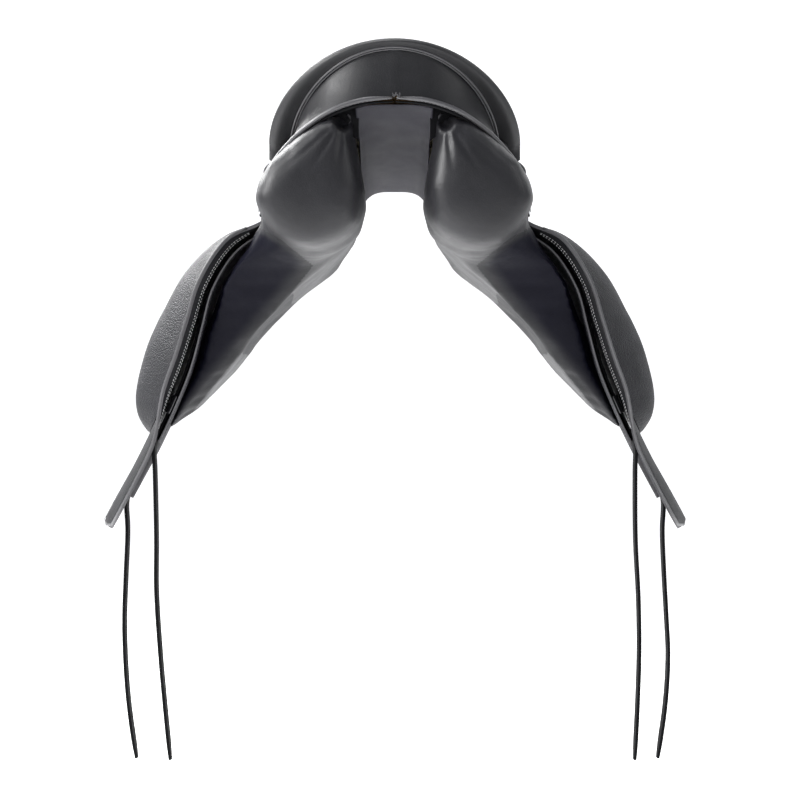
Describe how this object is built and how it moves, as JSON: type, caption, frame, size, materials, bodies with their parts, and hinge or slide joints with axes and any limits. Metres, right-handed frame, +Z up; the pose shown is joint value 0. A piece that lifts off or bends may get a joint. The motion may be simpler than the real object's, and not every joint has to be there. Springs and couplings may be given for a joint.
{
  "type": "english saddle",
  "caption": "Black leather dressage saddle with deep seat, flocked panels, flaps with thigh blocks that lift, girth straps, stirrup bars and dees.",
  "frame": {"origin": "on the centre plane, on the roof of the gullet channel at the waist of the seat, where the saddle is held up by the back or rack under it", "axes": "+X to the off (right) side, +Y towards the pommel, +Z up"},
  "size_m": [0.8312, 0.49, 0.9583],
  "materials": {
    "seat_leather": "satin",
    "flap_leather": "satin",
    "panel_leather": "satin",
    "strap_leather": "matte",
    "steel": "satin",
    "spring_steel": "satin",
    "tree_wood": "matte",
    "webbing": "matte",
    "foam": "matte"
  },
  "bodies": {
    "saddle": {"bar_rivet_lower_left": "steel", "bar_rivet_lower_right": "steel", "bar_rivet_upper_left": "steel", "bar_rivet_upper_right": "steel", "cantle_facing": "seat_leather", "cantle_piping": "seat_leather", "dee_front_chape_left": "strap_leather", "dee_front_chape_right": "strap_leather", "dee_rear_chape_left": "strap_leather", "dee_rear_chape_right": "strap_leather", "flap_top_left": "flap_leather", "flap_top_right": "flap_leather", "girth_web_front": "webbing", "girth_web_rear": "webbing", "gullet_lining": "panel_leather", "gullet_plate": "spring_steel", "head_plate": "spring_steel", "panel_left": "panel_leather", "panel_right": "panel_leather", "panel_welt_left": "seat_leather", "panel_welt_right": "seat_leather", "point_pocket_left": "panel_leather", "point_pocket_right": "panel_leather", "pommel_facing": "seat_leather", "saddle_nail_left": "steel", "saddle_nail_right": "steel", "seat_cover_front": "seat_leather", "seat_cover_rear": "seat_leather", "seat_foam": "foam", "seat_web_cross": "webbing", "seat_web_long": "webbing", "stirrup_bar_left": "steel", "stirrup_bar_right": "steel", "tree": "tree_wood", "tree_spring_left": "spring_steel", "tree_spring_right": "spring_steel"},
    "skirt_right": {"skirt_right": "flap_leather"},
    "sweat_flap_right": {"sweat_flap_right": "flap_leather", "billet_keeper_right": "strap_leather", "billet_rear_upper_right": "strap_leather", "billet_front_upper_right": "strap_leather"},
    "flap_right": {"flap_right": "flap_leather", "thigh_block_right": "flap_leather"},
    "billet_rear_right": {"billet_rear_right": "strap_leather"},
    "billet_front_right": {"billet_front_right": "strap_leather"},
    "bar_catch_right": {"stirrup_bar_catch_right": "steel"},
    "dee_front_right": {"dee_front_right": "steel"},
    "dee_rear_right": {"dee_rear_right": "steel"},
    "skirt_left": {"skirt_left": "flap_leather"},
    "sweat_flap_left": {"sweat_flap_left": "flap_leather", "billet_keeper_left": "strap_leather", "billet_rear_upper_left": "strap_leather", "billet_front_upper_left": "strap_leather"},
    "flap_left": {"flap_left": "flap_leather", "thigh_block_left": "flap_leather"},
    "billet_rear_left": {"billet_rear_left": "strap_leather"},
    "billet_front_left": {"billet_front_left": "strap_leather"},
    "bar_catch_left": {"stirrup_bar_catch_left": "steel"},
    "dee_front_left": {"dee_front_left": "steel"},
    "dee_rear_left": {"dee_rear_left": "steel"}
  },
  "joints": [
    {"name": "skirt_lift_right", "type": "hinge", "parent": "saddle", "child": "skirt_right", "pos_m": [0.1564, -0.098, 0.031], "axis": [0.28, -0.9576, -0.0684], "range_deg": [0, 60]},
    {"name": "sweat_flap_lift_right", "type": "hinge", "parent": "saddle", "child": "sweat_flap_right", "pos_m": [0.17625, 0, -0.05019], "axis": [0, -1, 0], "range_deg": [0, 25]},
    {"name": "flap_lift_right", "type": "hinge", "parent": "sweat_flap_right", "child": "flap_right", "pos_m": [0.17625, 0, -0.05019], "axis": [0, -1, 0], "range_deg": [0, 60]},
    {"name": "billet_rear_swing_right", "type": "hinge", "parent": "sweat_flap_right", "child": "billet_rear_right", "pos_m": [0.32897, -0.014, -0.35082], "axis": [0, -1, 0], "range_deg": [-40, 15]},
    {"name": "billet_front_swing_right", "type": "hinge", "parent": "sweat_flap_right", "child": "billet_front_right", "pos_m": [0.37927, 0.078, -0.42899], "axis": [0, -1, 0], "range_deg": [-40, 15]},
    {"name": "bar_catch_turn_right", "type": "hinge", "parent": "saddle", "child": "bar_catch_right", "pos_m": [0.14532, 0.0615, -0.00838], "axis": [-0.7692, 0, 0.639], "range_deg": [0, 60]},
    {"name": "dee_front_swing_right", "type": "hinge", "parent": "saddle", "child": "dee_front_right", "pos_m": [0.108, 0.15, 0.034], "axis": [0, -1, 0], "range_deg": [-10, 80]},
    {"name": "dee_rear_swing_right", "type": "hinge", "parent": "saddle", "child": "dee_rear_right", "pos_m": [0.177, -0.108, -0.026], "axis": [0, -1, 0], "range_deg": [-10, 80]},
    {"name": "skirt_lift_left", "type": "hinge", "parent": "saddle", "child": "skirt_left", "pos_m": [-0.1564, -0.098, 0.031], "axis": [0.28, 0.9576, 0.0684], "range_deg": [0, 60]},
    {"name": "sweat_flap_lift_left", "type": "hinge", "parent": "saddle", "child": "sweat_flap_left", "pos_m": [-0.17625, 0, -0.05019], "axis": [0, 1, 0], "range_deg": [0, 25]},
    {"name": "flap_lift_left", "type": "hinge", "parent": "sweat_flap_left", "child": "flap_left", "pos_m": [-0.17625, 0, -0.05019], "axis": [0, 1, 0], "range_deg": [0, 60]},
    {"name": "billet_rear_swing_left", "type": "hinge", "parent": "sweat_flap_left", "child": "billet_rear_left", "pos_m": [-0.32897, -0.014, -0.35082], "axis": [0, 1, 0], "range_deg": [-40, 15]},
    {"name": "billet_front_swing_left", "type": "hinge", "parent": "sweat_flap_left", "child": "billet_front_left", "pos_m": [-0.37927, 0.078, -0.42899], "axis": [0, 1, 0], "range_deg": [-40, 15]},
    {"name": "bar_catch_turn_left", "type": "hinge", "parent": "saddle", "child": "bar_catch_left", "pos_m": [-0.14532, 0.0615, -0.00838], "axis": [-0.7692, 0, -0.639], "range_deg": [0, 60]},
    {"name": "dee_front_swing_left", "type": "hinge", "parent": "saddle", "child": "dee_front_left", "pos_m": [-0.108, 0.15, 0.034], "axis": [0, 1, 0], "range_deg": [-10, 80]},
    {"name": "dee_rear_swing_left", "type": "hinge", "parent": "saddle", "child": "dee_rear_left", "pos_m": [-0.177, -0.108, -0.026], "axis": [0, 1, 0], "range_deg": [-10, 80]}
  ]
}
